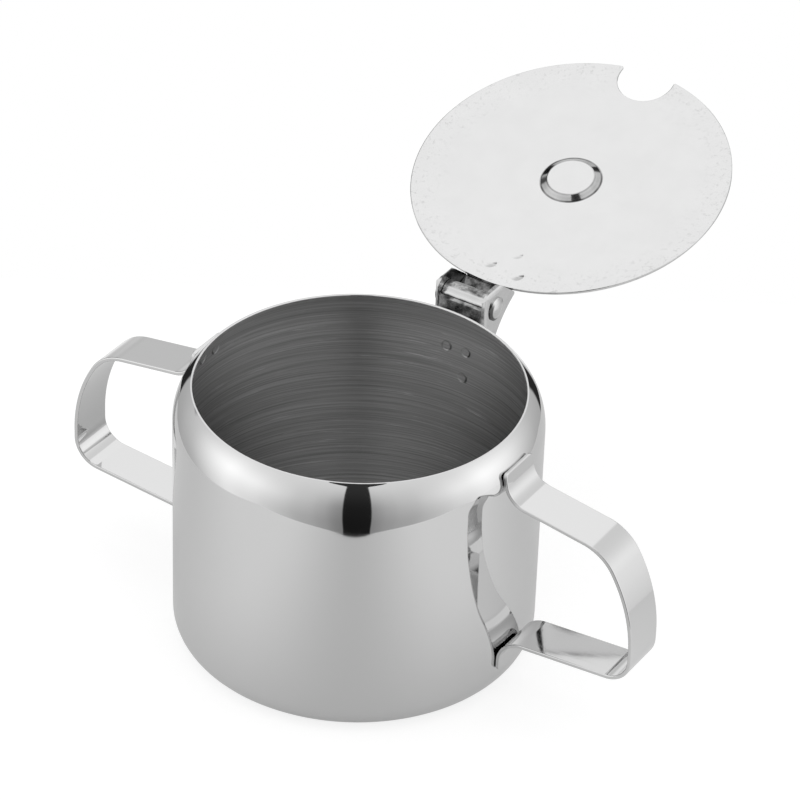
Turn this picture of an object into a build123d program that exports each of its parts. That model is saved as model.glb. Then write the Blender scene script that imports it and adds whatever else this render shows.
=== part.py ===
from build123d import *
from math import acos, atan2, cos, degrees, hypot, radians, sin, sqrt, tan
import os

# Condiment jar of polished stainless steel sheet, in millimetres.
# It stands on Z = 0 with the bowl's axis on Z, a strap handle at +X and at -X,
# the hinge at +Y, and the spoon notch of the closed lid at -Y.
os.makedirs("parts", exist_ok=True)

# Bowl, drawn from one sheet
bowl_radius = 43.0        # outside of the straight wall
bowl_height = 67.3
bowl_sheet = 0.6
shoulder_inset = 5.0      # from the outside of the wall in to the edge of the open mouth
shoulder_height = 9.5     # height over which the wall curves in to the mouth
base_corner = 6.0         # outside radius round the foot
rim_round = 0.2           # polished edges of the cut rim

# Strap handles, each one flat strip bent cold and spot-welded by its two tabs
strip_width = 11.5
strip_sheet = 1.0
strip_edge = 0.25         # rounding of the strip's long edges
tab_corner = 1.2          # rounding of the tabs' corners
tab_seat = 0.15           # how deep the round wall beds into the flat tabs
tab_lean = 11.0           # degrees that the upper tab leans in along the shoulder
tab_rise = 6.9            # length of the upper tab above its bend
tab_drop = 8.5            # lower end of the lower tab below its bend
upper_run = 56.2          # height of the upper run where it leaves the tab
upper_fall = 8.6          # degrees that the upper run falls outwards
lower_run = 16.0          # height of the lower run where it leaves the tab
lower_rise = 4.3          # degrees that the lower run rises outwards
grip_reach = 35.0         # outermost distance of the grip from the wall
grip_lean = 8.6           # how far the upper outside corner stands in from there
grip_fall = 59.2          # degrees that the grip falls at its upper end
upper_tab_bend = 5.3
grip_bend = 11.9
grip_curve = 38.8
lower_bend = 7.0
lower_tab_bend = 6.1

# Hinge bracket, a channel folded from sheet and spot-welded to the wall under the rim
bracket_sheet = 1.2
bracket_width = 14.7      # over the outside of the two ears
bracket_bend = 0.6        # inside radius of the folds
bracket_seat = 0.25       # how deep the round wall beds into the back plate
bracket_length = 24.0     # back plate, from the hinge axis down
plate_rise = 1.2          # back plate's upper edge above the hinge axis
plate_corner = 2.0
ear_radius = 5.6          # round top of the ears about the hinge axis
ear_tail = 7.2            # length of the straight stop edge behind the round top
ear_foot = 21.0           # where the ears run out on the plate, below the hinge axis
ear_corner = 0.6

# Hinge pin, riveted over outside both ears
pin_radius = 2.1
pin_ear_clearance = 0.02
pin_head_radius = 2.95
pin_head_side = 0.35
pin_head_height = 1.15

# Lid leaf, a tongue rolled into a barrel round the pin and welded on the lid
leaf_sheet = 0.9
leaf_side_clearance = 0.15
barrel_clearance = 0.05   # running fit on the pin
barrel_gap = 0.3          # between barrel and back plate
roll_angle = 280.0        # degrees that the sheet is rolled round the pin
leaf_reach = 15.4         # length that lies on the lid
leaf_end = 1.3            # what stays straight of the tongue's end between its round corners

# Lid, a shallow domed disc with a spoon notch and a pressed seat for the knob
lid_lap = 1.4             # how far the closed lid's edge stands out over the mouth
lid_sheet = 0.8
lid_rise = 1.95           # rise of the dome in the middle
lid_edge = 0.2            # rounding along the rim and the notch
seat_clearance = 0.05     # between the closed lid and the rim
open_angle = 163.7        # degrees from closed to the stop
stop_clearance = 0.15     # between the open lid's edge and the ears
notch_radius = 7.3
notch_inset = 2.1         # centre of the notch in from the lid's edge
notch_corner = 0.4
boss_radius = 7.5         # pressed seat at the lid's underside
boss_flat = 5.9
boss_depth = 1.0
boss_round = 0.3          # bends of the pressed seat

# Knob, turned from bar
knob_base_radius = 4.6
knob_foot = 1.2
knob_waist_radius = 3.7
knob_waist_height = 4.2
knob_head_radius = 6.5
knob_head_height = 7.4
knob_edge = 0.9
knob_crown = 1.3          # rise of the domed top
knob_height = 11.4

# Mouth, lid and hinge axis, worked out from the pieces that meet there
mouth_radius = bowl_radius - shoulder_inset
lid_radius = mouth_radius + lid_lap
notch_place = lid_radius - notch_inset
bracket_back = bowl_radius - bracket_seat
plate_face = bracket_back + bracket_sheet
barrel_bore = pin_radius + barrel_clearance
barrel_radius = barrel_bore + leaf_sheet
hinge_y = plate_face + barrel_gap + barrel_radius
lid_under = barrel_bore - lid_sheet
hinge_z = bowl_height + seat_clearance - lid_under
hinge_point = (0, hinge_y, hinge_z)

# The lid stands open: its own plane is turned about the hinge axis.
# On this plane x runs to the lid's rear edge and y is the lid's outward normal.
turn = radians(open_angle)
lid_side = Plane(hinge_point, x_dir=(0, cos(turn), -sin(turn)), z_dir=(1, 0, 0))
lid_centre = lid_side.from_local_coords((-hinge_y, lid_under, 0))
lid_section = Plane(lid_centre, x_dir=lid_side.x_dir, z_dir=(1, 0, 0))
lid_face = Plane(lid_centre, x_dir=(1, 0, 0), z_dir=lid_side.y_dir)
lid_axis = Axis(lid_centre, lid_side.y_dir)
dome_radius = (lid_radius**2 + lid_rise**2) / (2 * lid_rise)


def dome_height(distance, sheet=0.0):
    """Height of the lid's underside, or of its outside with the sheet, above its lower edge."""
    return sqrt((dome_radius + sheet) ** 2 - distance**2) - dome_radius + lid_rise


# Bowl: one section of even thickness, turned about the axis
with BuildPart() as bowl:
    wall_top = bowl_height - shoulder_height
    inner_radius = bowl_radius - bowl_sheet
    mouth_inset = shoulder_inset - bowl_sheet
    shoulder_radius = (mouth_inset**2 + shoulder_height**2) / (2 * mouth_inset) + bowl_sheet
    rim_radius = bowl_radius - shoulder_radius + sqrt(shoulder_radius**2 - shoulder_height**2)
    with BuildSketch(Plane.XZ) as bowl_section:
        with BuildLine():
            foot = Line((0, 0), (bowl_radius - base_corner, 0))
            foot_corner = JernArc(foot @ 1, foot % 1, base_corner, 90)
            outer_wall = Line(foot_corner @ 1, (bowl_radius, wall_top))
            outer_shoulder = TangentArc(outer_wall @ 1, (rim_radius, bowl_height), tangent=(0, 1))
            rim = Line(outer_shoulder @ 1, (mouth_radius, bowl_height))
            inner_shoulder = TangentArc((inner_radius, wall_top), rim @ 1, tangent=(0, 1))
            inner_wall = Line(inner_shoulder @ 0, (inner_radius, base_corner))
            inner_corner = JernArc(inner_wall @ 1, inner_wall % 1, base_corner - bowl_sheet, -90)
            floor = Line(inner_corner @ 1, (0, bowl_sheet))
            Line(floor @ 1, foot @ 0)
        make_face()
        fillet(bowl_section.vertices().group_by(Axis.Y)[-1], rim_round)
    revolve(axis=Axis.Z)
bowl.part.label = "bowl"

# Space that the bowl takes up, cut out of the pieces that are seated on it
with BuildPart() as bowl_space:
    with BuildSketch(Plane.XZ):
        with BuildLine():
            add([outer_wall, outer_shoulder])
            Polyline(outer_shoulder @ 1, (0, bowl_height), (0, base_corner), outer_wall @ 0)
        make_face()
    revolve(axis=Axis.Z)


def strap_handle(side, label):
    """One handle on the side +1 or -1 of the bowl, seated on the wall by its two tabs."""
    lean = radians(tab_lean)
    tab_face = bowl_radius - tab_seat + strip_sheet
    tab_root = bowl_radius - shoulder_radius + (
        shoulder_radius - tab_seat + strip_sheet - (upper_run - wall_top) * sin(lean)) / cos(lean)
    grip_face = bowl_radius + grip_reach
    grip_top = grip_face - grip_lean
    outer_corner = upper_run - (grip_top - tab_root) * tan(radians(upper_fall))
    grip_bulge = outer_corner - grip_lean * tan(radians(grip_fall))
    lower_corner = lower_run + (grip_face - tab_face) * tan(radians(lower_rise))
    with BuildPart() as handle:
        with BuildSketch(Plane((0, 0, 0), x_dir=(side, 0, 0), z_dir=(0, -side, 0))):
            with BuildLine():
                FilletPolyline(
                    (tab_root - tab_rise * sin(lean), upper_run + tab_rise * cos(lean)),
                    (tab_root, upper_run),
                    (grip_top, outer_corner),
                    (grip_face, grip_bulge),
                    (grip_face, lower_corner),
                    (tab_face, lower_run),
                    (tab_face, lower_run - tab_drop),
                    radius=[upper_tab_bend, grip_bend, grip_curve, lower_bend, lower_tab_bend],
                )
                offset(amount=strip_sheet, side=Side.RIGHT)
            make_face()
        extrude(amount=strip_width / 2, both=True)
        tab_ends = handle.faces().filter_by(Axis.Y, reverse=True).filter_by(GeomType.PLANE)
        tab_corners = (tab_ends.sort_by(Axis.Z)[0].edges() + tab_ends.sort_by(Axis.Z)[-1].edges())
        fillet(tab_corners.filter_by(Axis.Y, reverse=True), tab_corner)
        fillet(handle.faces().filter_by(Axis.Y).edges(), strip_edge)
        add(bowl_space.part, mode=Mode.SUBTRACT)
    handle.part.label = label
    return handle


handle_right = strap_handle(1, "handle_right")
handle_left = strap_handle(-1, "handle_left")

# Hinge bracket: side outline of the ears, kept inside the folded channel's plan
with BuildPart() as hinge_bracket:
    lid_edge_y = hinge_y - sqrt(lid_radius**2 - (bracket_width / 2) ** 2)
    stop_corner = (-lid_edge_y * cos(turn) + barrel_bore * sin(turn),
                   lid_edge_y * sin(turn) + barrel_bore * cos(turn))
    stop_angle = atan2(stop_corner[1], stop_corner[0]) + acos(
        (ear_radius + stop_clearance) / hypot(*stop_corner))
    stop_start = (ear_radius * cos(stop_angle), ear_radius * sin(stop_angle))
    stop_end = (stop_start[0] + ear_tail * sin(stop_angle),
                stop_start[1] - ear_tail * cos(stop_angle))
    back, face = bracket_back - hinge_y, plate_face - hinge_y
    front_angle = degrees(acos(back / ear_radius))
    with BuildSketch(Plane(hinge_point, x_dir=(0, 1, 0), z_dir=(1, 0, 0))) as ear_outline:
        with BuildLine():
            round_top = CenterArc((0, 0), ear_radius, front_angle, degrees(stop_angle) - front_angle)
            stop_edge = Line(round_top @ 1, stop_end)
            tail = TangentArc((face, -ear_foot), stop_edge @ 1, tangent=(0, 1))
            plate_end = Line(tail @ 0, (face, -bracket_length))
            lower_end = Line(plate_end @ 1, (back, -bracket_length))
            Line(lower_end @ 1, round_top @ 0)
        make_face()
        fillet(ear_outline.vertices().sort_by(Axis.X)[-1], ear_corner)
    extrude(amount=bracket_width / 2, both=True)
    ear_end = stop_end[0] + ear_radius
    with BuildSketch(Plane.XY.offset(hinge_z - bracket_length)) as channel_plan:
        with Locations((0, bracket_back)):
            Rectangle(bracket_width, ear_end + hinge_y - bracket_back, align=(Align.CENTER, Align.MIN))
        fillet(channel_plan.vertices().group_by(Axis.Y)[0], bracket_bend + bracket_sheet)
        with BuildSketch(mode=Mode.SUBTRACT) as channel_inside:
            with Locations((0, plate_face)):
                Rectangle(bracket_width - 2 * bracket_sheet, ear_end + hinge_y - bracket_back,
                          align=(Align.CENTER, Align.MIN))
            fillet(channel_inside.vertices().group_by(Axis.Y)[0], bracket_bend)
    extrude(amount=bracket_length + ear_radius, mode=Mode.INTERSECT)
    with BuildSketch(Plane.XY.offset(hinge_z + plate_rise)):
        with Locations((0, plate_face)):
            Rectangle(bracket_width - 2 * bracket_sheet, 2 * ear_radius + bracket_sheet)
    extrude(amount=ear_radius, mode=Mode.SUBTRACT)
    with BuildSketch(Plane(hinge_point, x_dir=(0, 1, 0), z_dir=(1, 0, 0))):
        Circle(pin_radius + pin_ear_clearance)
    extrude(amount=bracket_width / 2, both=True, mode=Mode.SUBTRACT)
    with BuildSketch(Plane.XZ) as plate_outline:
        with Locations((0, hinge_z - bracket_length)):
            Rectangle(bracket_width, bracket_length + ear_radius, align=(Align.CENTER, Align.MIN))
        fillet(plate_outline.vertices().group_by(Axis.Z)[0], plate_corner)
    extrude(amount=-(ear_end + hinge_y), mode=Mode.INTERSECT)
    add(bowl_space.part, mode=Mode.SUBTRACT)
hinge_bracket.part.label = "hinge_bracket"

# Hinge pin: half a section turned about the hinge axis, and its mirror image
with BuildPart() as hinge_pin:
    ear_outside = bracket_width / 2
    with BuildSketch(Plane(hinge_point, x_dir=(1, 0, 0), z_dir=(0, -1, 0))):
        with BuildLine():
            middle = Line((0, 0), (0, pin_radius))
            shank = Line(middle @ 1, (ear_outside, pin_radius))
            head_seat = Line(shank @ 1, (ear_outside, pin_head_radius))
            head_side = Line(head_seat @ 1, (ear_outside + pin_head_side, pin_head_radius))
            dome = pin_head_height - pin_head_side
            head_dome = RadiusArc(head_side @ 1, (ear_outside + pin_head_height, 0),
                                  (pin_head_radius**2 + dome**2) / (2 * dome))
            Line(head_dome @ 1, middle @ 0)
        make_face()
    revolve(axis=Axis(hinge_point, (1, 0, 0)))
    mirror(about=Plane.YZ)
hinge_pin.part.label = "hinge_pin"

# Lid: the domed sheet with its pressed seat, cut to the outline of a disc with a spoon notch
with BuildPart() as lid:
    boss_top = dome_height(boss_radius)
    boss_bottom = boss_top - boss_depth
    bend_shift = lid_sheet * tan(atan2(boss_depth, boss_radius - boss_flat) / 2)
    seat_floor = boss_flat - bend_shift
    seat_mouth = boss_radius - bend_shift
    blank_radius = lid_radius + lid_sheet
    with BuildSketch(lid_section) as lid_profile:
        with BuildLine():
            dome_under = RadiusArc((blank_radius, dome_height(blank_radius)),
                                   (boss_radius, boss_top), -dome_radius)
            boss_under = Line((boss_flat, boss_bottom), (0, boss_bottom))
            Line(dome_under @ 1, boss_under @ 0)
            seat_top = Line((0, boss_bottom + lid_sheet), (seat_floor, boss_bottom + lid_sheet))
            dome_top = RadiusArc((seat_mouth, dome_height(seat_mouth, lid_sheet)),
                                 (blank_radius, dome_height(blank_radius, lid_sheet)),
                                 dome_radius + lid_sheet)
            Line(seat_top @ 1, dome_top @ 0)
            Line(boss_under @ 1, seat_top @ 0)
            Line(dome_top @ 1, dome_under @ 0)
        make_face()
        fillet(lid_profile.vertices().sort_by(Axis.X)[2:-2], boss_round)
    revolve(axis=lid_axis)
    with BuildSketch(lid_face):
        Circle(lid_radius)
        with Locations((0, -notch_place)):
            Circle(notch_radius, mode=Mode.SUBTRACT)
    extrude(amount=2 * (lid_rise + lid_sheet), both=True, mode=Mode.INTERSECT)
    fillet(lid.edges().filter_by(lid_axis).group_by(Axis.Y)[-1], notch_corner)
    inside_notch = notch_place - notch_radius - lid_sheet
    outline_edges = lid.edges().filter_by(lid_axis, reverse=True).filter_by(
        lambda edge: (edge.center() - lid_centre).length > inside_notch)
    fillet(outline_edges, lid_edge)
lid.part.label = "lid"

# Lid leaf: rolled barrel, straight bridge and a tongue that follows the lid's dome
with BuildPart() as lid_leaf:
    leaf_width = bracket_width - 2 * (bracket_sheet + leaf_side_clearance)
    bridge_end = lid_radius - hinge_y
    tongue_end = bridge_end - leaf_reach
    tongue_under = lid_under + dome_height(lid_radius - leaf_reach, lid_sheet)
    dome_outside = dome_radius + lid_sheet
    with BuildSketch(lid_side):
        with BuildLine():
            roll_inside = CenterArc((0, 0), barrel_bore, 90 - roll_angle, roll_angle)
            bridge_under = Line(roll_inside @ 1, (bridge_end, barrel_bore))
            under = RadiusArc(bridge_under @ 1, (tongue_end, tongue_under), -dome_outside)
            tip = Line(under @ 1, (tongue_end, tongue_under + leaf_sheet))
            roll_outside = CenterArc((0, 0), barrel_radius, 90 - roll_angle, roll_angle)
            bridge_top = Line(roll_outside @ 1, (bridge_end, barrel_radius))
            RadiusArc(bridge_top @ 1, tip @ 1, -dome_outside)
            Line(roll_inside @ 0, roll_outside @ 0)
        make_face()
    extrude(amount=leaf_width / 2, both=True)
    fillet(lid_leaf.edges().filter_by(Axis((0, 0, 0), lid_side.y_dir)), (leaf_width - leaf_end) / 2)
lid_leaf.part.label = "lid_leaf"

# Knob: turned profile standing on the floor of the pressed seat
with BuildPart() as knob:
    knob_foot_plane = Plane(lid_section.from_local_coords((0, boss_bottom + lid_sheet, 0)),
                            x_dir=lid_section.x_dir, z_dir=(1, 0, 0))
    crown_radius = (knob_head_radius**2 + knob_crown**2) / (2 * knob_crown)
    with BuildSketch(knob_foot_plane) as knob_profile:
        with BuildLine():
            under = Line((0, 0), (knob_base_radius, 0))
            foot_side = Line(under @ 1, (knob_base_radius, knob_foot))
            waist = ThreePointArc(foot_side @ 1, (knob_waist_radius, knob_waist_height),
                                  (knob_head_radius, knob_head_height))
            head_side = Line(waist @ 1, (knob_head_radius, knob_height - knob_crown))
            crown = RadiusArc(head_side @ 1, (0, knob_height), -crown_radius)
            Line(crown @ 1, under @ 0)
        make_face()
        fillet(knob_profile.vertices().group_by(Axis.X)[-1], knob_edge)
    revolve(axis=lid_axis)
knob.part.label = "knob"

for piece in (bowl, handle_right, handle_left, hinge_bracket, hinge_pin, lid, lid_leaf, knob):
    export_step(piece.part, f"parts/{piece.part.label}.step")
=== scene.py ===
import bpy
from math import cos, pi, radians, sin
from mathutils import Matrix, Vector

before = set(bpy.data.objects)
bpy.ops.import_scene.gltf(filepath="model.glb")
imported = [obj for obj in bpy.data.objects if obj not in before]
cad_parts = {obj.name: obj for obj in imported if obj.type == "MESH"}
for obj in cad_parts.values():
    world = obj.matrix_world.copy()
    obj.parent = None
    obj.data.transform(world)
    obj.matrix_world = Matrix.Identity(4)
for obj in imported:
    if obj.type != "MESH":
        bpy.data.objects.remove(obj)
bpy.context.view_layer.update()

# Camera: a long lens from the front right, looking down on the open mouth.
# The picture's centre lies beside the bowl, so the camera stands off to the side without shift.
camera_azimuth, camera_elevation, camera_roll = radians(31.73), radians(34.24), radians(1.96)
camera_distance, focal_pixels, picture_pixels, sensor_width = 0.9365, 4000.0, 800, 36.0
aim_point, aim_pixel = Vector((0.0, 0.0, 0.03153)), (356.48, 512.09)
back = Vector((sin(camera_azimuth) * cos(camera_elevation),
               -cos(camera_azimuth) * cos(camera_elevation), sin(camera_elevation)))
level_right = Vector((cos(camera_azimuth), sin(camera_azimuth), 0.0))
level_up = back.cross(level_right)
right = cos(camera_roll) * level_right + sin(camera_roll) * level_up
up = cos(camera_roll) * level_up - sin(camera_roll) * level_right
per_pixel = camera_distance / focal_pixels
camera_place = (aim_point + back * camera_distance
                - right * (aim_pixel[0] - picture_pixels / 2) * per_pixel
                + up * (aim_pixel[1] - picture_pixels / 2) * per_pixel)
camera_data = bpy.data.cameras.new("camera")
camera_data.sensor_width = sensor_width
camera_data.lens = focal_pixels / picture_pixels * sensor_width
camera_data.clip_start, camera_data.clip_end = 0.05, 20.0
camera = bpy.data.objects.new("camera", camera_data)
camera.matrix_world = Matrix((
    (right.x, up.x, back.x, camera_place.x),
    (right.y, up.y, back.y, camera_place.y),
    (right.z, up.z, back.z, camera_place.z),
    (0, 0, 0, 1)))
bpy.context.scene.collection.objects.link(camera)
bpy.context.scene.camera = camera
bpy.context.scene.view_settings.view_transform = "Standard"


def add(tree, kind, inputs=None, **settings):
    """One node: settings name its properties, inputs give sockets or values by name or number."""
    node = tree.nodes.new(kind)
    for key, value in settings.items():
        setattr(node, key, value)
    for key, value in (inputs or {}).items():
        if isinstance(value, bpy.types.NodeSocket):
            tree.links.new(value, node.inputs[key])
        else:
            node.inputs[key].default_value = value
    return node


# Studio: a soft white surround with a light from each side and a bright sheet overhead that leans
# to the back. Between the side lights, in front, stays the dark gap that the picture is taken through.
# Behind, a bright backdrop hangs low, a dark corner shows on each side of it, and on the left a dark
# flag stands higher up. Straight into the lens, and through glass, the surround is plain white.
# Azimuths run from the camera, positive to the right; heights are those on a ball of radius 1.
surround = [(-180, 0.62), (-150, 0.60), (-129, 0.66), (-108, 0.87), (-84, 1.36), (-70, 1.30),
            (-56, 1.12), (-38, 0.80), (-24, 0.63), (-16, 0.50), (-9, 0.36), (9, 0.38), (16, 0.50),
            (24, 0.60), (38, 0.73), (56, 1.02), (70, 1.22), (84, 1.38), (108, 1.02), (130, 0.68),
            (180, 0.62)]
by_height = [(-1.0, 0.72), (-0.42, 0.76), (-0.26, 0.80), (-0.1, 0.87), (0.0, 0.92), (0.17, 1.0),
             (0.35, 1.04), (0.57, 1.0), (0.75, 0.95), (1.0, 0.90)]
brightest = 1.5     # a ramp's colours end at 1, so they hold shares of this
backdrop_light, backdrop_start, backdrop_full = 0.98, radians(162), radians(167)
backdrop_top, backdrop_full_top = 0.30, 0.05
ceiling_light, ceiling_start, ceiling_full = 0.90, 0.12, 0.95
sheet_light, sheet_lean, sheet_start, sheet_full = 1.10, 0.30, 0.68, 0.90
sheet_half, sheet_half_full = 0.68, 0.60
gap_light, gap_turn, gap_half, gap_edge = 0.045, radians(1.0), radians(7.8), radians(0.8)
gap_widest, gap_widest_half, gap_widening = 0.835, radians(24), 0.055
gap_closing, gap_closed = 0.86, 0.94
corner_light, corner, corner_half, corner_edge = 0.05, radians(154.5), radians(5), radians(3)
corner_height, corner_half_height = 0.0, 0.42
flag_light, flag, flag_half, flag_edge = 0.14, radians(-141), radians(11), radians(8)
flag_height, flag_half_height = 0.44, 0.15
dark_fade = 0.10
world = bpy.data.worlds.new("studio")
world.use_nodes = True
bpy.context.scene.world = world
tree = world.node_tree
tree.nodes.clear()
direction = add(tree, "ShaderNodeTexCoord").outputs["Generated"]
turned = add(tree, "ShaderNodeVectorRotate", {"Vector": direction, "Angle": -camera_azimuth},
             rotation_type="Z_AXIS")
xyz = add(tree, "ShaderNodeSeparateXYZ", {"Vector": turned.outputs[0]}).outputs
towards = add(tree, "ShaderNodeMath", {0: xyz["Y"], 1: -1.0}, operation="MULTIPLY")
azimuth = add(tree, "ShaderNodeMath", {0: xyz["X"], 1: towards.outputs[0]}, operation="ARCTAN2")
either_side = add(tree, "ShaderNodeMath", {0: azimuth.outputs[0]}, operation="ABSOLUTE")
# the surround and its change with height
round_place = add(tree, "ShaderNodeMapRange", {
    "Value": azimuth.outputs[0], "From Min": -pi, "From Max": pi})
round_light = add(tree, "ShaderNodeValToRGB", {"Fac": round_place.outputs[0]})
high_place = add(tree, "ShaderNodeMapRange", {"Value": xyz["Z"], "From Min": -1.0, "From Max": 1.0})
high_light = add(tree, "ShaderNodeValToRGB", {"Fac": high_place.outputs[0]})
for ramp, stops in ((round_light.color_ramp, surround), (high_light.color_ramp, by_height)):
    lowest, highest = stops[0][0], stops[-1][0]
    ramp.interpolation = "CARDINAL"
    for at, light in stops[1:-1]:
        ramp.elements.new((at - lowest) / (highest - lowest))
    for element, (at, light) in zip(ramp.elements, stops):
        element.color = (light / brightest, light / brightest, light / brightest, 1)
studio = add(tree, "ShaderNodeMath", {0: round_light.outputs[0], 1: high_light.outputs[0]},
             operation="MULTIPLY")
studio = add(tree, "ShaderNodeMath", {0: studio.outputs[0], 1: brightest ** 2}, operation="MULTIPLY")
# the backdrop, low behind the jar
behind = add(tree, "ShaderNodeMapRange", {
    "Value": either_side.outputs[0], "From Min": backdrop_start, "From Max": backdrop_full},
    interpolation_type="SMOOTHSTEP")
low = add(tree, "ShaderNodeMapRange", {
    "Value": xyz["Z"], "From Min": backdrop_top, "From Max": backdrop_full_top},
    interpolation_type="SMOOTHSTEP")
behind = add(tree, "ShaderNodeMath", {0: behind.outputs[0], 1: low.outputs[0]}, operation="MULTIPLY")
studio = add(tree, "ShaderNodeMix", {
    "Factor": behind.outputs[0], "A": studio.outputs[0], "B": backdrop_light}, data_type="FLOAT")
# the even light of the ceiling
ceiling = add(tree, "ShaderNodeMapRange", {
    "Value": xyz["Z"], "From Min": ceiling_start, "From Max": ceiling_full},
    interpolation_type="SMOOTHSTEP")
studio = add(tree, "ShaderNodeMix", {
    "Factor": ceiling.outputs[0], "A": studio.outputs[0], "B": ceiling_light}, data_type="FLOAT")
# the sheet overhead
leaning = add(tree, "ShaderNodeMath", {0: xyz["Y"], 1: sheet_lean, 2: xyz["Z"]}, operation="MULTIPLY_ADD")
overhead = add(tree, "ShaderNodeMapRange", {
    "Value": leaning.outputs[0], "From Min": sheet_start, "From Max": sheet_full},
    interpolation_type="SMOOTHSTEP")
sideways = add(tree, "ShaderNodeMath", {0: xyz["X"], 1: xyz["Z"]}, operation="DIVIDE")
sideways = add(tree, "ShaderNodeMath", {0: sideways.outputs[0]}, operation="ABSOLUTE")
within = add(tree, "ShaderNodeMapRange", {
    "Value": sideways.outputs[0], "From Min": sheet_half, "From Max": sheet_half_full})
overhead = add(tree, "ShaderNodeMath", {0: overhead.outputs[0], 1: within.outputs[0]}, operation="MULTIPLY")
studio = add(tree, "ShaderNodeMix", {
    "Factor": overhead.outputs[0], "A": studio.outputs[0], "B": sheet_light}, data_type="FLOAT")
# the gap in front, widest just below the sheet and closed above
aside = add(tree, "ShaderNodeMath", {0: azimuth.outputs[0], 1: gap_turn}, operation="SUBTRACT")
aside = add(tree, "ShaderNodeMath", {0: aside.outputs[0]}, operation="ABSOLUTE")
from_widest = add(tree, "ShaderNodeMath", {0: xyz["Z"], 1: gap_widest}, operation="SUBTRACT")
from_widest = add(tree, "ShaderNodeMath", {0: from_widest.outputs[0]}, operation="ABSOLUTE")
half = add(tree, "ShaderNodeMapRange", {
    "Value": from_widest.outputs[0], "From Min": gap_widening, "From Max": 0.0,
    "To Min": gap_half, "To Max": gap_widest_half}, interpolation_type="SMOOTHSTEP")
past = add(tree, "ShaderNodeMath", {0: aside.outputs[0], 1: half.outputs[0]}, operation="SUBTRACT")
clear = add(tree, "ShaderNodeMapRange", {
    "Value": past.outputs[0], "From Min": 0.0, "From Max": gap_edge, "To Min": gap_light},
    interpolation_type="SMOOTHSTEP")
above = add(tree, "ShaderNodeMapRange", {
    "Value": xyz["Z"], "From Min": gap_closing, "From Max": gap_closed},
    interpolation_type="SMOOTHSTEP")
clear = add(tree, "ShaderNodeMath", {0: clear.outputs[0], 1: above.outputs[0]}, operation="MAXIMUM")
studio = add(tree, "ShaderNodeMath", {0: studio.outputs[0], 1: clear.outputs[0]}, operation="MULTIPLY")
# the dark corners and the flag
for around, middle, half_width, edge, light, level, half_level in (
        (either_side, corner, corner_half, corner_edge, corner_light, corner_height, corner_half_height),
        (azimuth, flag, flag_half, flag_edge, flag_light, flag_height, flag_half_height)):
    off = add(tree, "ShaderNodeMath", {0: around.outputs[0], 1: middle}, operation="SUBTRACT")
    off = add(tree, "ShaderNodeMath", {0: off.outputs[0]}, operation="ABSOLUTE")
    shaded = add(tree, "ShaderNodeMapRange", {
        "Value": off.outputs[0], "From Min": half_width, "From Max": half_width + edge, "To Min": light},
        interpolation_type="SMOOTHSTEP")
    off = add(tree, "ShaderNodeMath", {0: xyz["Z"], 1: level}, operation="SUBTRACT")
    off = add(tree, "ShaderNodeMath", {0: off.outputs[0]}, operation="ABSOLUTE")
    beyond = add(tree, "ShaderNodeMapRange", {
        "Value": off.outputs[0], "From Min": half_level, "From Max": half_level + dark_fade},
        interpolation_type="SMOOTHSTEP")
    shaded = add(tree, "ShaderNodeMath", {0: shaded.outputs[0], 1: beyond.outputs[0]}, operation="MAXIMUM")
    studio = add(tree, "ShaderNodeMath", {0: studio.outputs[0], 1: shaded.outputs[0]}, operation="MULTIPLY")
ray = add(tree, "ShaderNodeLightPath").outputs
straight = add(tree, "ShaderNodeMath", {0: ray["Is Camera Ray"], 1: ray["Is Transmission Ray"]},
               operation="MAXIMUM")
seen = add(tree, "ShaderNodeMix", {"Factor": straight.outputs[0], "A": studio.outputs[0], "B": 1.0},
           data_type="FLOAT")
shine = add(tree, "ShaderNodeBackground", {"Color": (1, 1, 1, 1), "Strength": seen.outputs[0]})
add(tree, "ShaderNodeOutputWorld", {"Surface": shine.outputs[0]})

# Table: a matt white board with straight edges, the front one just below the picture. It takes the
# jar's soft shadow, and in the polished steel it shows greyer, most of all in the middle and to the
# back. From below it is open, so that the jar's underside can be looked at.
board_left, board_right, board_front, board_back = -0.148, 0.185, 0.119, 0.145
card_tone, lens_glow = 0.35, 0.76
middle_glow, side_glow, middle_half = 0.31, 0.53, 0.075
back_share, back_end, front_start = 0.72, -0.03, 0.06
board_right_way = Vector((cos(camera_azimuth), sin(camera_azimuth), 0.0))
board_front_way = Vector((sin(camera_azimuth), -cos(camera_azimuth), 0.0))
board_mesh = bpy.data.meshes.new("board")
board_mesh.from_pydata([board_right_way * x + board_front_way * y for x, y in (
    (board_left, -board_back), (board_left, board_front),
    (board_right, board_front), (board_right, -board_back))], [], [(0, 1, 2, 3)])
board = bpy.data.objects.new("board", board_mesh)
bpy.context.scene.collection.objects.link(board)
white_card = bpy.data.materials.new("matt_white_card")
white_card.use_nodes = True
white_card.cycles.emission_sampling = "NONE"
tree = white_card.node_tree
tree.nodes.clear()
place = add(tree, "ShaderNodeTexCoord").outputs["Object"]
sideways = add(tree, "ShaderNodeVectorMath", {0: place, 1: board_right_way}, operation="DOT_PRODUCT")
sideways = add(tree, "ShaderNodeMath", {0: sideways.outputs["Value"]}, operation="ABSOLUTE")
in_steel = add(tree, "ShaderNodeMapRange", {
    "Value": sideways.outputs[0], "From Max": middle_half, "To Min": middle_glow, "To Max": side_glow},
    interpolation_type="SMOOTHSTEP")
forwards = add(tree, "ShaderNodeVectorMath", {0: place, 1: board_front_way}, operation="DOT_PRODUCT")
share = add(tree, "ShaderNodeMapRange", {
    "Value": forwards.outputs["Value"], "From Min": back_end, "From Max": front_start, "To Min": back_share},
    interpolation_type="SMOOTHSTEP")
in_steel = add(tree, "ShaderNodeMath", {0: in_steel.outputs[0], 1: share.outputs[0]}, operation="MULTIPLY")
ray = add(tree, "ShaderNodeLightPath").outputs
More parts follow.
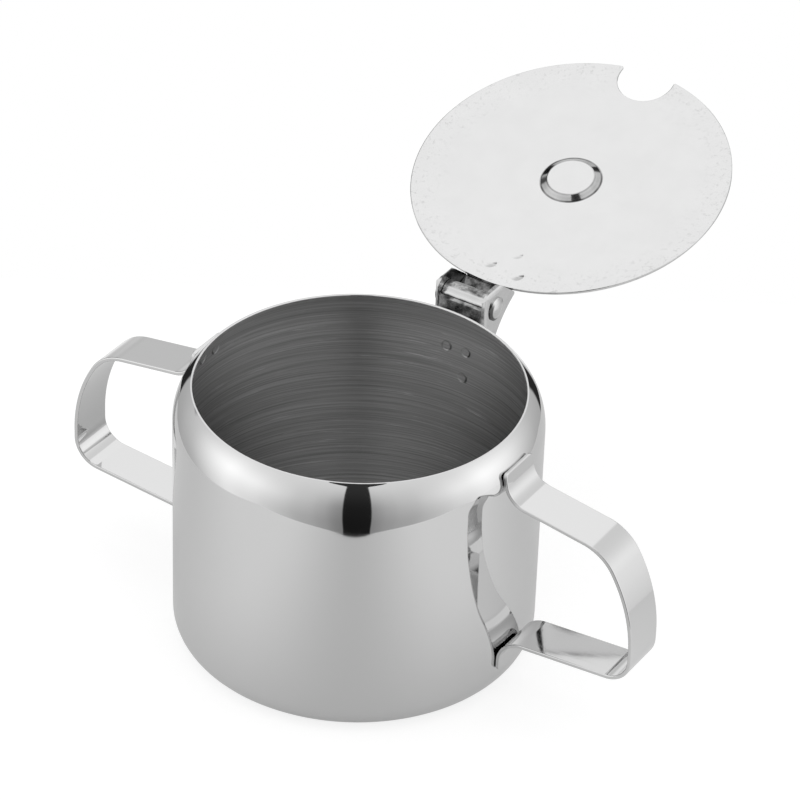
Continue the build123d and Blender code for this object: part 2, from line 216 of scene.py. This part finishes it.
straight = add(tree, "ShaderNodeMath", {0: ray["Is Camera Ray"], 1: ray["Is Transmission Ray"]},
               operation="MAXIMUM")
straight = add(tree, "ShaderNodeMath", {0: straight.outputs[0], 1: lens_glow}, operation="MULTIPLY")
lift = add(tree, "ShaderNodeMath", {0: ray["Is Glossy Ray"], 1: in_steel.outputs[0], 2: straight.outputs[0]},
           operation="MULTIPLY_ADD")
card = add(tree, "ShaderNodeBsdfDiffuse", {"Color": (card_tone, card_tone, card_tone, 1)})
glow = add(tree, "ShaderNodeEmission", {"Color": (1, 1, 1, 1), "Strength": lift.outputs[0]})
from_above = add(tree, "ShaderNodeAddShader", {0: card.outputs[0], 1: glow.outputs[0]})
from_below = add(tree, "ShaderNodeBsdfTransparent")
underside = add(tree, "ShaderNodeNewGeometry").outputs["Backfacing"]
sides = add(tree, "ShaderNodeMixShader", {0: underside, 1: from_above.outputs[0], 2: from_below.outputs[0]})
add(tree, "ShaderNodeOutputMaterial", {"Surface": sides.outputs[0]})
board_mesh.materials.append(white_card)

# Bowl: a cup drawn from stainless steel sheet, necked in to the mouth. Outside it is polished to a
# mirror on the buffing wheel. Inside it keeps the fine rings of spinning, darker and satin, with the
# shallow round marks of the spot welds that hold the hinge and the handles.
wall_radius, wall_height, sheet, foot_radius = 0.043, 0.0673, 0.0006, 0.006
neck_start, neck_radius, neck_ease = 0.0578, 0.01306, 0.0015
skin_share, inside_share = 0.08, 0.85     # of the sheet, from its outer face in
hinge_welds = ((-0.0027, 0.0424, 0.0544), (0.0027, 0.0424, 0.0544), (0.0020, 0.0424, 0.0469))
handle_welds = ((0.0422, 0.0026, 0.0598), (0.0424, 0.0026, 0.0115))
weld_mark, weld_depth = 0.0015, 0.0002
ring_spacing, ring_length, scratch_spacing, scratch_length = 0.0004, 0.050, 0.0006, 0.018
groove_depth, wave_length, wave_depth, haze_size = 0.00002, 0.014, 0.000008, 0.006


def hex_colour(text):
    """sRGB hex to a linear colour."""
    channels = [int(text[i:i + 2], 16) / 255 for i in (1, 3, 5)]
    return (*[c / 12.92 if c <= 0.04045 else ((c + 0.055) / 1.055) ** 2.4 for c in channels], 1.0)


# stainless steel: where it is buffed, a mirror with a trace of haze, and where it is spun, satin with
# its shine drawn out across the rings
bowl_steel = bpy.data.materials.new("stainless_steel_mirror_polished_spun_inside")
bowl_steel.use_nodes = True
tree = bowl_steel.node_tree
tree.nodes.clear()
place = add(tree, "ShaderNodeTexCoord").outputs["Object"]
xyz = add(tree, "ShaderNodeSeparateXYZ", {"Vector": place}).outputs
flat = add(tree, "ShaderNodeVectorMath", {0: place, 1: (1, 1, 0)}, operation="MULTIPLY")
radius = add(tree, "ShaderNodeVectorMath", {0: flat.outputs[0]}, operation="LENGTH").outputs["Value"]
# how deep a point lies in the sheet is measured from the rounds of the foot and of the neck
depths, sections, outer_skins = [], [], []
for centre, level, pick, bend in ((wall_radius - foot_radius, foot_radius, "MINIMUM", foot_radius),
                                  (wall_radius - neck_radius, neck_start, "MAXIMUM", neck_radius)):
    out = add(tree, "ShaderNodeMath", {0: radius, 1: centre}, operation="SUBTRACT")
    out = add(tree, "ShaderNodeMath", {0: out.outputs[0], 1: 0.0}, operation="MAXIMUM")
    rise = add(tree, "ShaderNodeMath", {0: xyz["Z"], 1: level}, operation="SUBTRACT")
    rise = add(tree, "ShaderNodeMath", {0: rise.outputs[0], 1: 0.0}, operation=pick)
    section = add(tree, "ShaderNodeCombineXYZ", {"X": out.outputs[0], "Y": rise.outputs[0]})
    away = add(tree, "ShaderNodeVectorMath", {0: section.outputs[0]}, operation="LENGTH")
    sections.append(section.outputs[0])
    outer_skins.append(add(tree, "ShaderNodeMath", {0: away.outputs["Value"], 1: bend - skin_share * sheet},
                           operation="GREATER_THAN").outputs[0])
    depths.append(add(tree, "ShaderNodeMath", {0: away.outputs["Value"], 1: bend - inside_share * sheet},
                      operation="LESS_THAN").outputs[0])
inside = add(tree, "ShaderNodeMath", {0: depths[0], 1: depths[1]}, operation="MULTIPLY").outputs[0]
# spun rings and brighter short scratches follow the sheet from the floor up the wall; they are drawn
# 0.4 and 0.6 mm apart, coarser than the real ones, so that they show
along = add(tree, "ShaderNodeMath", {0: xyz["Z"], 1: radius}, operation="SUBTRACT")
unrolled = add(tree, "ShaderNodeCombineXYZ", {"X": xyz["X"], "Y": xyz["Y"], "Z": along.outputs[0]})
rings = []
for spacing, stretch in ((ring_spacing, ring_length), (scratch_spacing, scratch_length)):
    laid = add(tree, "ShaderNodeMapping", {
        "Vector": unrolled.outputs[0], "Scale": (1 / stretch, 1 / stretch, 1 / spacing)})
    rings.append(add(tree, "ShaderNodeTexNoise", {
        "Vector": laid.outputs[0], "Scale": 1.0, "Detail": 4.0, "Roughness": 0.7}).outputs["Fac"])
tone = add(tree, "ShaderNodeMapRange", {"Value": rings[0], "From Min": 0.34, "From Max": 0.66})
scratch = add(tree, "ShaderNodeMapRange", {"Value": rings[1], "From Min": 0.59, "From Max": 0.73},
              interpolation_type="SMOOTHSTEP")
spun = add(tree, "ShaderNodeMix", {
    "Factor": tone.outputs[0], 6: hex_colour("#A4A4A4"), 7: hex_colour("#D2D2D2")}, data_type="RGBA")
spun = add(tree, "ShaderNodeMix", {
    "Factor": scratch.outputs[0], 6: spun.outputs[2], 7: hex_colour("#E8E8E8")}, data_type="RGBA")
# weld marks: small flat round dimples
mirrored = add(tree, "ShaderNodeVectorMath", {0: place}, operation="ABSOLUTE")
nearest = None
for spot, at in ([(spot, place) for spot in hinge_welds]
                 + [(spot, mirrored.outputs[0]) for spot in handle_welds]):
    off = add(tree, "ShaderNodeVectorMath", {0: at, 1: spot}, operation="DISTANCE").outputs["Value"]
    nearest = off if nearest is None else add(
        tree, "ShaderNodeMath", {0: nearest, 1: off}, operation="MINIMUM").outputs[0]
dimple = add(tree, "ShaderNodeMapRange", {
    "Value": nearest, "From Min": 0.6 * weld_mark, "From Max": weld_mark}, interpolation_type="SMOOTHSTEP")
groove = add(tree, "ShaderNodeBump", {"Height": rings[0], "Strength": 0.7, "Distance": groove_depth})
groove = add(tree, "ShaderNodeBump", {
    "Height": dimple.outputs[0], "Strength": 1.0, "Distance": weld_depth, "Normal": groove.outputs[0]})
tangent = add(tree, "ShaderNodeTangent", direction_type="RADIAL", axis="Z")
satin = add(tree, "ShaderNodeBsdfPrincipled", {
    "Base Color": spun.outputs[2], "Metallic": 1.0, "Roughness": 0.42, "Anisotropic": 0.95,
    "Anisotropic Rotation": 0.25, "Normal": groove.outputs[0], "Tangent": tangent.outputs[0]})
# a mirror shows every facet, so the outer skin takes its true normal from the same two rounds; the
# neck starts softly, as drawn sheet does
rise = add(tree, "ShaderNodeMath", {0: xyz["Z"], 1: neck_start}, operation="SUBTRACT")
rise = add(tree, "ShaderNodeMath", {0: rise.outputs[0], 1: 0.0, 2: neck_ease}, operation="SMOOTH_MAX")
eased = add(tree, "ShaderNodeCombineXYZ", {"X": out.outputs[0], "Y": rise.outputs[0]})
upper = add(tree, "ShaderNodeMath", {0: xyz["Z"], 1: wall_height / 2}, operation="GREATER_THAN").outputs[0]
section = add(tree, "ShaderNodeMix", {"Factor": upper, 4: sections[0], 5: eased.outputs[0]},
              data_type="VECTOR")
section = add(tree, "ShaderNodeSeparateXYZ", {"Vector": section.outputs[1]}).outputs
outwards = add(tree, "ShaderNodeVectorMath", {0: flat.outputs[0]}, operation="NORMALIZE")
outwards = add(tree, "ShaderNodeVectorMath", {0: outwards.outputs[0], "Scale": section["X"]},
               operation="SCALE")
upwards = add(tree, "ShaderNodeCombineXYZ", {"Z": section["Y"]})
true = add(tree, "ShaderNodeVectorMath", {0: outwards.outputs[0], 1: upwards.outputs[0]}, operation="ADD")
true = add(tree, "ShaderNodeVectorTransform", {0: true.outputs[0]}, vector_type="NORMAL",
           convert_from="OBJECT", convert_to="WORLD")
true = add(tree, "ShaderNodeVectorMath", {0: true.outputs[0]}, operation="NORMALIZE")
skin = add(tree, "ShaderNodeMix", {"Factor": upper, 2: outer_skins[0], 3: outer_skins[1]},
           data_type="FLOAT")
faceted = add(tree, "ShaderNodeNewGeometry").outputs["Normal"]
smooth = add(tree, "ShaderNodeMix", {"Factor": skin.outputs[0], 4: faceted, 5: true.outputs[0]},
             data_type="VECTOR")
# the buffed outside: a trace of waviness 14 mm long, and a haze that comes and goes over 6 mm
wave = add(tree, "ShaderNodeTexNoise", {"Vector": place, "Scale": 1 / wave_length, "Detail": 1.0})
buffed = add(tree, "ShaderNodeBump", {
    "Height": wave.outputs["Fac"], "Strength": 1.0, "Distance": wave_depth, "Normal": smooth.outputs[1]})
haze = add(tree, "ShaderNodeTexNoise", {"Vector": place, "Scale": 1 / haze_size, "Detail": 4.0})
haze = add(tree, "ShaderNodeMapRange", {
    "Value": haze.outputs["Fac"], "From Min": 0.3, "From Max": 0.75, "To Min": 0.03, "To Max": 0.045})
mirror = add(tree, "ShaderNodeBsdfPrincipled", {
    "Base Color": hex_colour("#DADADA"), "Metallic": 1.0, "Roughness": haze.outputs[0],
    "Normal": buffed.outputs[0]})
sides = add(tree, "ShaderNodeMixShader", {0: inside, 1: mirror.outputs[0], 2: satin.outputs[0]})
add(tree, "ShaderNodeOutputMaterial", {"Surface": sides.outputs[0]})
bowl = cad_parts["bowl"]
bowl.data.materials.clear()
bowl.data.materials.append(bowl_steel)

# Strap handles: flat stainless strip, bent cold into a D and spot-welded to the wall by both tabs.
# They are buffed along their length, which leaves a mirror with the faintest lines running with the
# strip, drawn 0.6 mm apart, coarser than the real ones, so that they show.
line_spacing, line_length, line_depth = 0.0006, 0.03, 0.000001
bend_length, bend_depth = 0.010, 0.00001
handle_steel = bpy.data.materials.new("stainless_strip_mirror_polished")
handle_steel.use_nodes = True
tree = handle_steel.node_tree
shader = tree.nodes["Principled BSDF"]
place = add(tree, "ShaderNodeTexCoord").outputs["Object"]
laid = add(tree, "ShaderNodeMapping", {
    "Vector": place, "Scale": (1 / line_length, 1 / line_spacing, 1 / line_length)})
lines = add(tree, "ShaderNodeTexNoise", {"Vector": laid.outputs[0], "Scale": 1.0, "Detail": 3.0})
wave = add(tree, "ShaderNodeTexNoise", {"Vector": place, "Scale": 1 / bend_length, "Detail": 1.0})
fine = add(tree, "ShaderNodeBump", {
    "Height": lines.outputs["Fac"], "Strength": 0.3, "Distance": line_depth})
bent = add(tree, "ShaderNodeBump", {
    "Height": wave.outputs["Fac"], "Strength": 1.0, "Distance": bend_depth, "Normal": fine.outputs[0]})
worn = add(tree, "ShaderNodeMapRange", {
    "Value": lines.outputs["Fac"], "From Min": 0.3, "From Max": 0.7, "To Min": 0.04, "To Max": 0.075})
for name, value in (("Base Color", hex_colour("#DADADA")), ("Metallic", 1.0)):
    shader.inputs[name].default_value = value
tree.links.new(worn.outputs[0], shader.inputs["Roughness"])
tree.links.new(bent.outputs[0], shader.inputs["Normal"])
for side in ("handle_left", "handle_right"):
    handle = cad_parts[side]
    handle.data.materials.clear()
    handle.data.materials.append(handle_steel)

# Hinge: a bracket folded from stainless sheet and a leaf whose end is rolled round the pin. Both are
# tumbled, not buffed, so they stay bright but soft, with the small dents and rubs of the tumbling.
# Between the ears, within a centimetre of the pin, the sheet is darkened in blotches as painted shade,
# deepest towards the lid as painted shadow of its edge, save on the barrel's face that turns up to the
# light.
pin_axis = Vector((0.0, 0.0473, 0.0660))
ears_inside, ears_inside_end = 0.00672, 0.00680
lid_shade_start, lid_shade_full = 0.0485, 0.0520     # along Y
shade_fading, shade_end = 0.0085, 0.0120     # from the pin
lit_way, lit_start, lit_full = (0.0, -0.73, 0.68), 0.92, 0.98
dent_size, dent_depth, rub_size, blotch_size = 0.0011, 0.00002, 0.0035, 0.0024
hinge_steel = bpy.data.materials.new("stainless_sheet_tumbled")
hinge_steel.use_nodes = True
tree = hinge_steel.node_tree
shader = tree.nodes["Principled BSDF"]
place = add(tree, "ShaderNodeTexCoord").outputs["Object"]
xyz = add(tree, "ShaderNodeSeparateXYZ", {"Vector": place}).outputs
rubs = add(tree, "ShaderNodeTexNoise", {"Vector": place, "Scale": 1 / rub_size, "Detail": 2.0})
clean = add(tree, "ShaderNodeMix", {
    "Factor": rubs.outputs["Fac"], 6: hex_colour("#C8C8C8"), 7: hex_colour("#DEDEDE")}, data_type="RGBA")
blotch = add(tree, "ShaderNodeTexNoise", {
    "Vector": place, "Scale": 1 / blotch_size, "Detail": 4.0, "Roughness": 0.65})
blotch = add(tree, "ShaderNodeMapRange", {
    "Value": blotch.outputs["Fac"], "From Min": 0.36, "From Max": 0.60})
# painted shade: blotchy darkening between the ears near the pin
pale_painted_shade = add(tree, "ShaderNodeMix", {
    "Factor": blotch.outputs[0], 6: hex_colour("#525252"), 7: hex_colour("#B2B2B2")}, data_type="RGBA")
deep_painted_shade = add(tree, "ShaderNodeMix", {
    "Factor": blotch.outputs[0], 6: hex_colour("#343434"), 7: hex_colour("#7C7C7C")}, data_type="RGBA")
# painted shadow of the lid's edge: the deeper painted shade takes over towards the lid
lid_edge_shade = add(tree, "ShaderNodeMapRange", {
    "Value": xyz["Y"], "From Min": lid_shade_start, "From Max": lid_shade_full})
painted_shade_tone = add(tree, "ShaderNodeMix", {
    "Factor": lid_edge_shade.outputs[0], 6: pale_painted_shade.outputs[2], 7: deep_painted_shade.outputs[2]}, data_type="RGBA")
out = add(tree, "ShaderNodeMath", {0: xyz["X"]}, operation="ABSOLUTE")
outside = add(tree, "ShaderNodeMapRange", {
    "Value": out.outputs[0], "From Min": ears_inside, "From Max": ears_inside_end})
from_pin = add(tree, "ShaderNodeVectorMath", {0: place, 1: pin_axis}, operation="SUBTRACT")
from_pin = add(tree, "ShaderNodeVectorMath", {0: from_pin.outputs[0], 1: (0, 1, 1)}, operation="MULTIPLY")
far_off = add(tree, "ShaderNodeVectorMath", {0: from_pin.outputs[0]}, operation="LENGTH")
far_off = add(tree, "ShaderNodeMapRange", {
    "Value": far_off.outputs["Value"], "From Min": shade_fading, "From Max": shade_end},
    interpolation_type="SMOOTHSTEP")
# the barrel's face that turns up to the light is left free of the painted shade
lit_face = add(tree, "ShaderNodeVectorMath", {0: from_pin.outputs[0]}, operation="NORMALIZE")
lit_face = add(tree, "ShaderNodeVectorMath", {0: lit_face.outputs[0], 1: lit_way}, operation="DOT_PRODUCT")
lit_face = add(tree, "ShaderNodeMapRange", {
    "Value": lit_face.outputs["Value"], "From Min": lit_start, "From Max": lit_full},
    interpolation_type="SMOOTHSTEP")
bright = add(tree, "ShaderNodeMath", {0: outside.outputs[0], 1: lit_face.outputs[0]}, operation="MAXIMUM")
bright = add(tree, "ShaderNodeMath", {0: bright.outputs[0], 1: far_off.outputs[0]}, operation="MAXIMUM")
tone = add(tree, "ShaderNodeMix", {"Factor": bright.outputs[0], 6: painted_shade_tone.outputs[2], 7: clean.outputs[2]},
           data_type="RGBA")
gloss = add(tree, "ShaderNodeMapRange", {
    "Value": rubs.outputs["Fac"], "From Min": 0.3, "From Max": 0.7, "To Min": 0.12, "To Max": 0.24})
dents = add(tree, "ShaderNodeTexNoise", {
    "Vector": place, "Scale": 1 / dent_size, "Detail": 3.0, "Roughness": 0.6})
dented = add(tree, "ShaderNodeBump", {
    "Height": dents.outputs["Fac"], "Strength": 0.5, "Distance": dent_depth})
shader.inputs["Metallic"].default_value = 1.0
tree.links.new(tone.outputs[2], shader.inputs["Base Color"])
tree.links.new(gloss.outputs[0], shader.inputs["Roughness"])
tree.links.new(dented.outputs[0], shader.inputs["Normal"])
for name in ("hinge_bracket", "lid_leaf"):
    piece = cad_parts[name]
    piece.data.materials.clear()
    piece.data.materials.append(hinge_steel)

# Hinge pin: bright drawn stainless wire. Its ends are riveted over, which leaves faint rings and
# a softer shine on both heads. A dark crescent along the lower front rim of each head is painted
# shadow in the gap round the head.
rivet_ring, rivet_depth = 0.0018, 0.00001
head_shade_start, head_shade_full, head_shade_way, head_shade_run = 0.0021, 0.0024, (0, -0.9, -0.44), 0.0015
pin_steel = bpy.data.materials.new("stainless_wire_riveted")
pin_steel.use_nodes = True
tree = pin_steel.node_tree
shader = tree.nodes["Principled BSDF"]
place = add(tree, "ShaderNodeTexCoord").outputs["Object"]
centred = add(tree, "ShaderNodeMapping", {"Vector": place, "Location": -pin_axis})
from_axis = add(tree, "ShaderNodeVectorMath", {0: centred.outputs[0], 1: (0, 1, 1)}, operation="MULTIPLY")
swirl = add(tree, "ShaderNodeTexWave", {
    "Vector": from_axis.outputs[0], "Scale": 1 / rivet_ring, "Distortion": 0.6, "Detail": 2.0},
    wave_type="RINGS", rings_direction="SPHERICAL")
riveted = add(tree, "ShaderNodeBump", {
    "Height": swirl.outputs["Fac"], "Strength": 0.4, "Distance": rivet_depth})
# painted shadow: the rim of each head darkens on its lower front side
edge = add(tree, "ShaderNodeVectorMath", {0: from_axis.outputs[0]}, operation="LENGTH")
edge = add(tree, "ShaderNodeMapRange", {
    "Value": edge.outputs["Value"], "From Min": head_shade_start, "From Max": head_shade_full},
    interpolation_type="SMOOTHSTEP")
front = add(tree, "ShaderNodeVectorMath", {0: from_axis.outputs[0], 1: head_shade_way}, operation="DOT_PRODUCT")
front = add(tree, "ShaderNodeMapRange", {"Value": front.outputs["Value"], "From Max": head_shade_run},
            interpolation_type="SMOOTHSTEP")
head_shade = add(tree, "ShaderNodeMath", {0: edge.outputs[0], 1: front.outputs[0]}, operation="MULTIPLY")
tone = add(tree, "ShaderNodeMix", {
    "Factor": head_shade.outputs[0], 6: hex_colour("#D2D2D2"), 7: hex_colour("#606060")}, data_type="RGBA")
for name, value in (("Metallic", 1.0), ("Roughness", 0.2)):
    shader.inputs[name].default_value = value
tree.links.new(tone.outputs[2], shader.inputs["Base Color"])
tree.links.new(riveted.outputs[0], shader.inputs["Normal"])
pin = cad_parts["hinge_pin"]
pin.data.materials.clear()
pin.data.materials.append(pin_steel)

# Lid: a disc blanked and domed from bright rolled sheet, with a pressed seat for the knob. Wiping
# leaves it faintly cloudy and specked towards the rim. The bends and the slope of the seat carry
# painted shade in patches. The three spot welds of the leaf show as small round marks on the underside.
lid_middle, to_hinge = Vector((0.0, 0.09308, 0.07798)), Vector((0.0, -0.9598, -0.2807))
lid_normal = Vector((0.0, 0.2807, -0.9598))
# painted shade in the seat's bends and on its slope: distance from the middle, half width, colour
seat_painted_shade = ((0.0067, 0.0013, "#B8B8B8"), (0.0075, 0.00042, "#4C4C4C"), (0.0059, 0.0004, "#A0A0A0"))
leaf_welds = [lid_middle + to_hinge * reach + Vector((x, 0, 0))
              for x, reach in ((-0.0028, 0.0334), (0.0054, 0.0345), (0.0015, 0.0280))]
lid_weld_mark, lid_weld_depth = 0.0018, 0.0003
cloud_size, shade_patch, speck_size, specks_start, specks_full = 0.009, 0.004, 0.0012, 0.029, 0.039
lid_steel = bpy.data.materials.new("stainless_sheet_bright_rolled")
lid_steel.use_nodes = True
tree = lid_steel.node_tree
shader = tree.nodes["Principled BSDF"]
place = add(tree, "ShaderNodeTexCoord").outputs["Object"]
cloud = add(tree, "ShaderNodeTexNoise", {
    "Vector": place, "Scale": 1 / cloud_size, "Detail": 5.0, "Roughness": 0.65})
tone = add(tree, "ShaderNodeMapRange", {"Value": cloud.outputs["Fac"], "From Min": 0.3, "From Max": 0.7})
wiped_and_shaded = add(tree, "ShaderNodeMix", {
    "Factor": tone.outputs[0], 6: hex_colour("#DBDBDB"), 7: hex_colour("#DFDFDF")}, data_type="RGBA")
from_middle = add(tree, "ShaderNodeVectorMath", {0: place, 1: lid_middle}, operation="SUBTRACT")
beside = add(tree, "ShaderNodeVectorMath", {0: from_middle.outputs[0], 1: lid_normal},
             operation="CROSS_PRODUCT")
reach = add(tree, "ShaderNodeVectorMath", {0: beside.outputs[0]}, operation="LENGTH").outputs["Value"]
patchy = add(tree, "ShaderNodeTexNoise", {"Vector": place, "Scale": 1 / shade_patch, "Detail": 3.0})
patchy = add(tree, "ShaderNodeMath", {0: patchy.outputs["Fac"], 1: 1.7}, operation="MULTIPLY")
# each ring darkens the lid in patches, as painted shade in the seat
for at, half_line, paint in seat_painted_shade:
    off = add(tree, "ShaderNodeMath", {0: reach, 1: at}, operation="SUBTRACT")
    off = add(tree, "ShaderNodeMath", {0: off.outputs[0]}, operation="ABSOLUTE")
    line = add(tree, "ShaderNodeMapRange", {"Value": off.outputs[0], "From Min": half_line, "From Max": 0.0},
               interpolation_type="SMOOTHSTEP")
    line = add(tree, "ShaderNodeMath", {0: line.outputs[0], 1: patchy.outputs[0]}, operation="MULTIPLY",
               use_clamp=True)
    wiped_and_shaded = add(tree, "ShaderNodeMix", {
        "Factor": line.outputs[0], 6: wiped_and_shaded.outputs[2], 7: hex_colour(paint)}, data_type="RGBA")
near_rim = add(tree, "ShaderNodeMapRange", {
    "Value": reach, "From Min": specks_start, "From Max": specks_full})
specks = add(tree, "ShaderNodeTexNoise", {
    "Vector": place, "Scale": 1 / speck_size, "Detail": 5.0, "Roughness": 0.7})
specks = add(tree, "ShaderNodeMapRange", {
    "Value": specks.outputs["Fac"], "From Min": 0.55, "From Max": 0.76})
specks = add(tree, "ShaderNodeMath", {0: specks.outputs[0], 1: near_rim.outputs[0]}, operation="MULTIPLY")
wiped_and_shaded = add(tree, "ShaderNodeMix", {
    "Factor": specks.outputs[0], 6: wiped_and_shaded.outputs[2], 7: hex_colour("#BEBEBE")}, data_type="RGBA")
gloss = add(tree, "ShaderNodeMapRange", {
    "Value": cloud.outputs["Fac"], "From Min": 0.3, "From Max": 0.7, "To Min": 0.07, "To Max": 0.11})
nearest = None
for spot in leaf_welds:
    off = add(tree, "ShaderNodeVectorMath", {0: place, 1: spot}, operation="DISTANCE").outputs["Value"]
    nearest = off if nearest is None else add(
        tree, "ShaderNodeMath", {0: nearest, 1: off}, operation="MINIMUM").outputs[0]
dimple = add(tree, "ShaderNodeMapRange", {
    "Value": nearest, "From Min": 0.3 * lid_weld_mark, "From Max": lid_weld_mark})
pressed = add(tree, "ShaderNodeBump", {
    "Height": dimple.outputs[0], "Strength": 1.0, "Distance": lid_weld_depth})
shader.inputs["Metallic"].default_value = 1.0
tree.links.new(wiped_and_shaded.outputs[2], shader.inputs["Base Color"])
tree.links.new(gloss.outputs[0], shader.inputs["Roughness"])
tree.links.new(pressed.outputs[0], shader.inputs["Normal"])
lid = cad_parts["lid"]
lid.data.materials.clear()
lid.data.materials.append(lid_steel)

# Knob: turned from stainless bar and polished in the lathe, so its faint lines run round its own axis,
# which stands square on the lid. They are drawn 0.5 mm apart, coarser than the real ones.
lathe_spacing, lathe_depth = 0.0005, 0.000004
knob_steel = bpy.data.materials.new("stainless_bar_turned_polished")
knob_steel.use_nodes = True
tree = knob_steel.node_tree
shader = tree.nodes["Principled BSDF"]
place = add(tree, "ShaderNodeTexCoord").outputs["Object"]
from_lid = add(tree, "ShaderNodeVectorMath", {0: place, 1: lid_middle}, operation="SUBTRACT").outputs[0]
up_knob = add(tree, "ShaderNodeVectorMath", {0: from_lid, 1: lid_normal}, operation="DOT_PRODUCT")
reach = add(tree, "ShaderNodeVectorMath", {0: from_lid}, operation="LENGTH")
wound = add(tree, "ShaderNodeCombineXYZ", {"X": up_knob.outputs["Value"], "Y": reach.outputs["Value"]})
turned = add(tree, "ShaderNodeTexNoise", {
    "Vector": wound.outputs[0], "Scale": 1 / lathe_spacing, "Detail": 2.0})
lathe = add(tree, "ShaderNodeBump", {
    "Height": turned.outputs["Fac"], "Strength": 0.5, "Distance": lathe_depth})
for name, value in (("Base Color", hex_colour("#DADADA")), ("Metallic", 1.0), ("Roughness", 0.06)):
    shader.inputs[name].default_value = value
tree.links.new(lathe.outputs[0], shader.inputs["Normal"])
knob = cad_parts["knob"]
knob.data.materials.clear()
knob.data.materials.append(knob_steel)
